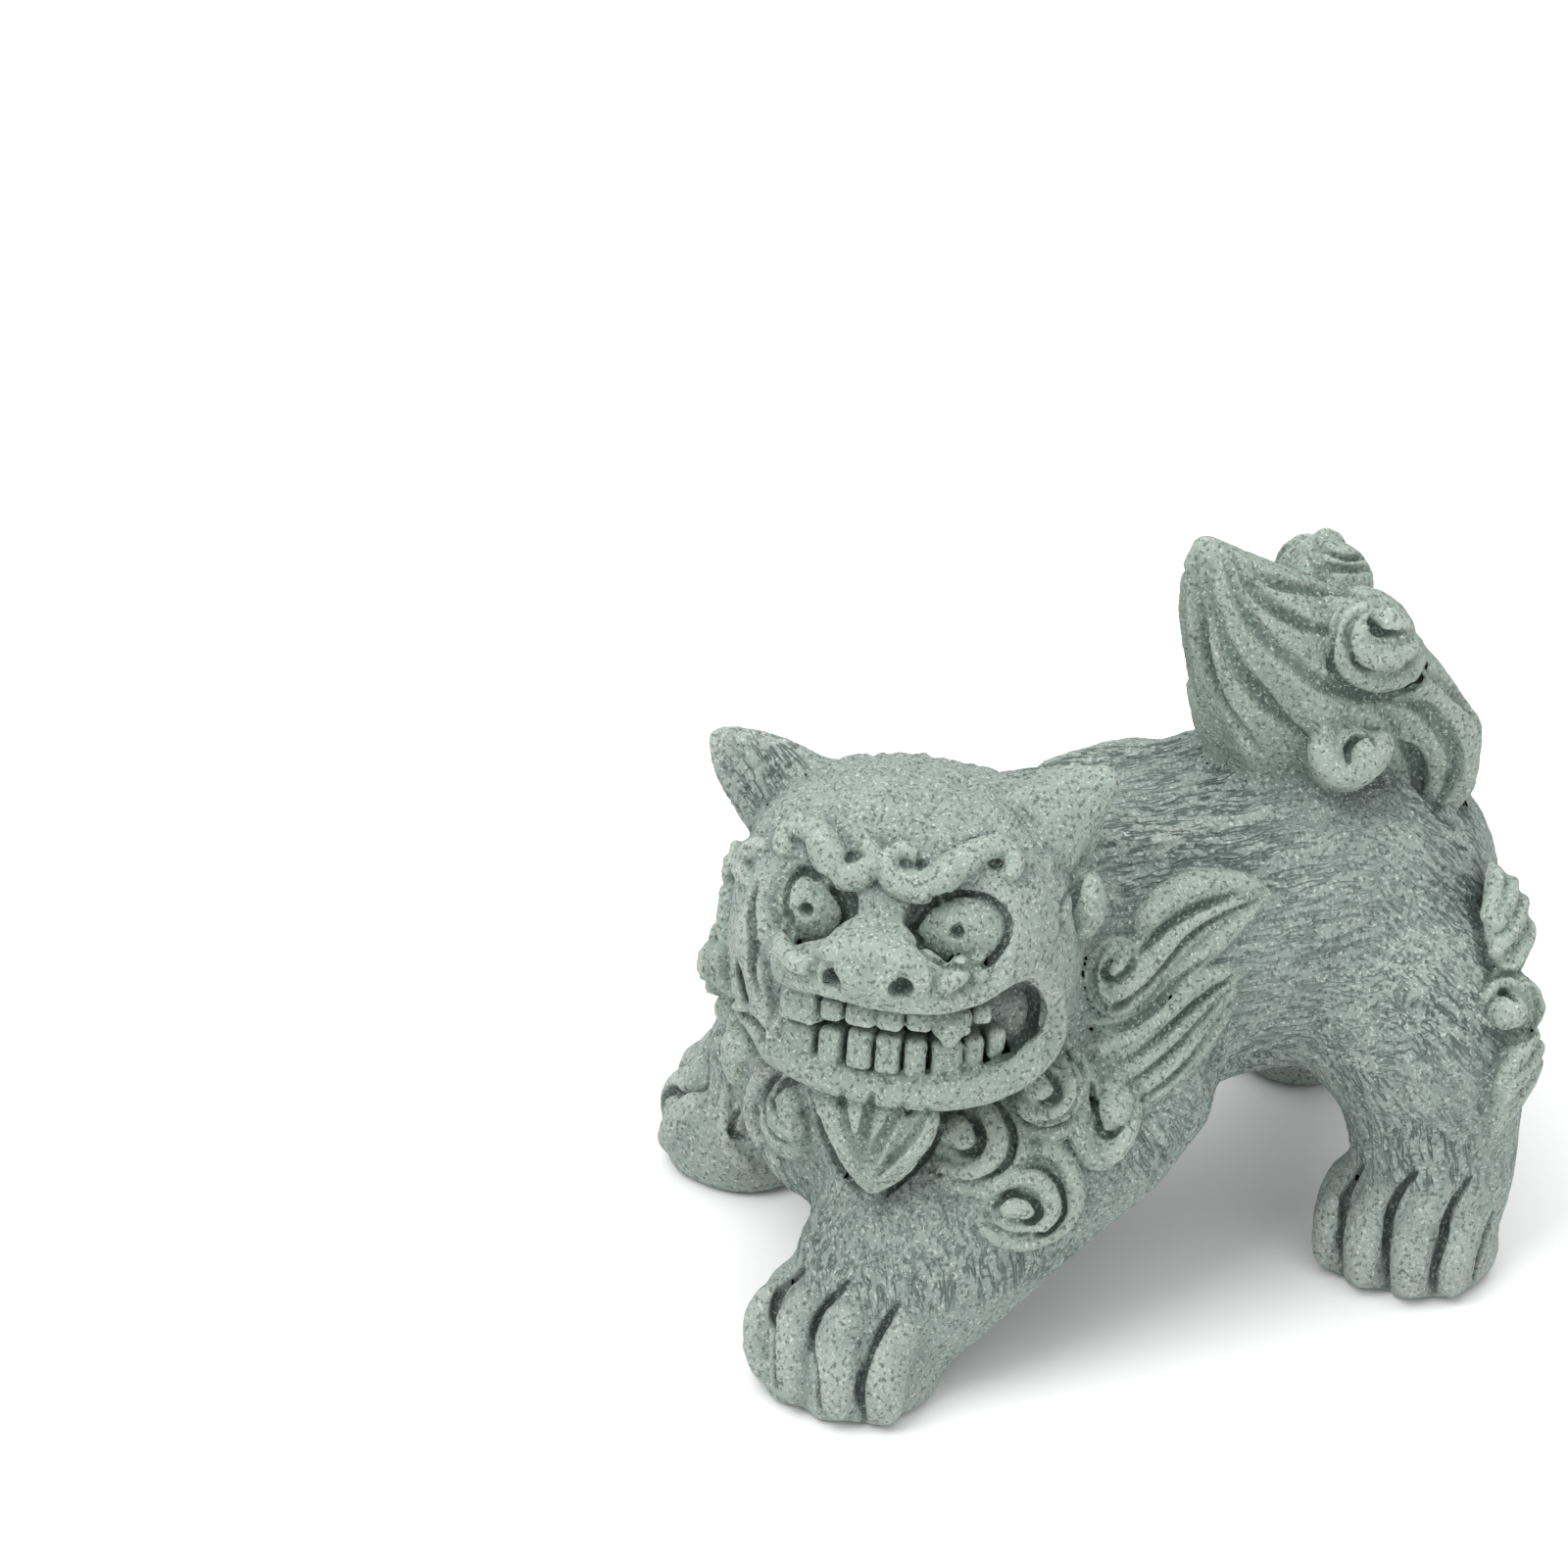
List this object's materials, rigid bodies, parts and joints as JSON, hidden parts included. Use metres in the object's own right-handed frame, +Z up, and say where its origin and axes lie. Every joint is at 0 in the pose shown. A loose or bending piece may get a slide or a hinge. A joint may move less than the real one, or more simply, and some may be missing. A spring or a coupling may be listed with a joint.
{
  "type": "carved stoneware lion statue",
  "caption": "Carved stoneware guardian lion in a low playful stance, open mouth with teeth, curled mane and upright plume tail, standing free on its paws",
  "frame": {"origin": "the middle of the footprint of the whole box, on the ground under the paws", "axes": "+Z is up. The lion stands along Y with its chest towards -Y, and its left side is +X, so its turned head looks towards +X and -Y."},
  "size_m": [0.0614, 0.0856, 0.08],
  "materials": {
    "body_stoneware": "unglazed, sandy, grey-green, with short carved fur strokes and pale and dark grit",
    "relief_stoneware": "unglazed, sandy, slightly paler and smoother on the raised curls, locks, brows and teeth"
  },
  "bodies": {
    "root": {"torso": "body_stoneware", "front_leg_left": "body_stoneware", "front_leg_right": "body_stoneware", "hind_leg_left": "body_stoneware", "hind_leg_right": "body_stoneware", "front_paw_left": "body_stoneware", "front_paw_right": "body_stoneware", "hind_paw_left": "body_stoneware", "hind_paw_right": "body_stoneware", "head": "body_stoneware", "lower_jaw": "body_stoneware", "muzzle": "relief_stoneware", "nose": "relief_stoneware", "eye_left": "relief_stoneware", "eye_right": "relief_stoneware", "brow_left": "relief_stoneware", "brow_right": "relief_stoneware", "whisker_left": "relief_stoneware", "whisker_right": "relief_stoneware", "ear_left": "relief_stoneware", "ear_right": "relief_stoneware", "upper_teeth": "relief_stoneware", "lower_teeth": "relief_stoneware", "beard": "relief_stoneware", "side_curl_left": "relief_stoneware", "side_curl_right_upper": "relief_stoneware", "side_curl_right_middle": "relief_stoneware", "side_curl_right_lower": "relief_stoneware", "shoulder_curl_left": "relief_stoneware", "shoulder_curl_right": "relief_stoneware", "flame_upper_left": "relief_stoneware", "flame_upper_right": "relief_stoneware", "flame_lower_left": "relief_stoneware", "flame_lower_right": "relief_stoneware", "neck_curl_left": "relief_stoneware", "hook_curl_left": "relief_stoneware", "chest_curl_left": "relief_stoneware", "leg_curl_left": "relief_stoneware", "throat_curl": "relief_stoneware", "knob_curl": "relief_stoneware", "mane_curl_1": "relief_stoneware", "mane_curl_2": "relief_stoneware", "mane_curl_3": "relief_stoneware", "mane_curl_4": "relief_stoneware", "mane_curl_5": "relief_stoneware", "nape_lock_left": "relief_stoneware", "nape_lock_right": "relief_stoneware", "haunch_upper_left": "relief_stoneware", "haunch_upper_right": "relief_stoneware", "haunch_lower_left": "relief_stoneware", "haunch_lower_right": "relief_stoneware", "haunch_curl_left": "relief_stoneware", "haunch_curl_right": "relief_stoneware", "tail_plume": "relief_stoneware", "tail_rear_left": "relief_stoneware", "tail_rear_right": "relief_stoneware", "tail_curl_upper_left": "relief_stoneware", "tail_curl_upper_right": "relief_stoneware", "tail_curl_lower_left": "relief_stoneware", "tail_curl_lower_right": "relief_stoneware"}
  },
  "joints": []
}
